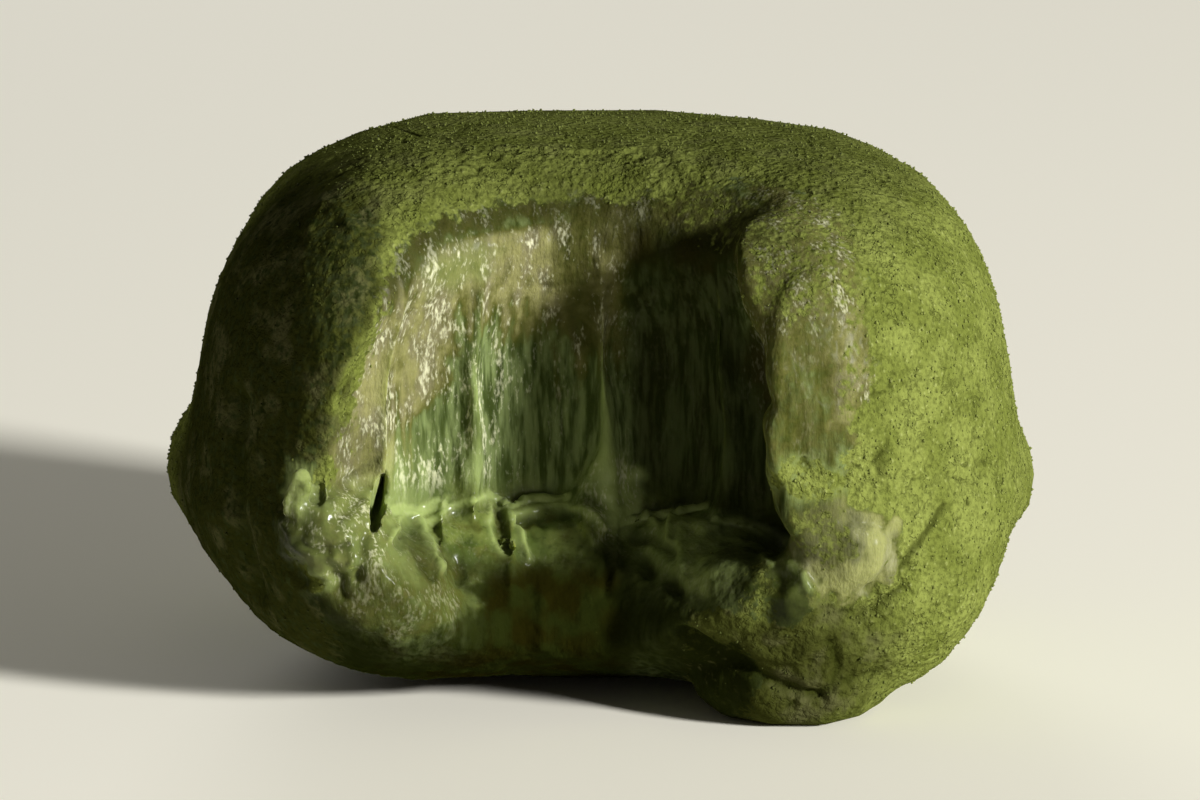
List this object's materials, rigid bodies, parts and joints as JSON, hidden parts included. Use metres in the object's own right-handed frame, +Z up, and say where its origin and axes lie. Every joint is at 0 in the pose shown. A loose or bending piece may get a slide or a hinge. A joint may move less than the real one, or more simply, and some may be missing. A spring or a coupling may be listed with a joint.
{
  "type": "dango",
  "caption": "Bitten ball of sticky rice dough dusted with green tea powder, sagged onto a flat spot, with tooth marks in the hollow and torn dough along the lip.",
  "frame": {"origin": "middle of the footprint, on the surface that the dango rests on", "axes": "+Z up, the bite faces -Y, +X to the right as seen looking into the bite"},
  "size_m": [0.0564, 0.0488, 0.0342],
  "materials": {
    "matcha_dough": "matt green tea powder on the skin, moist translucent dough where it is bitten"
  },
  "bodies": {
    "root": {"dango": "matcha_dough"}
  },
  "joints": []
}
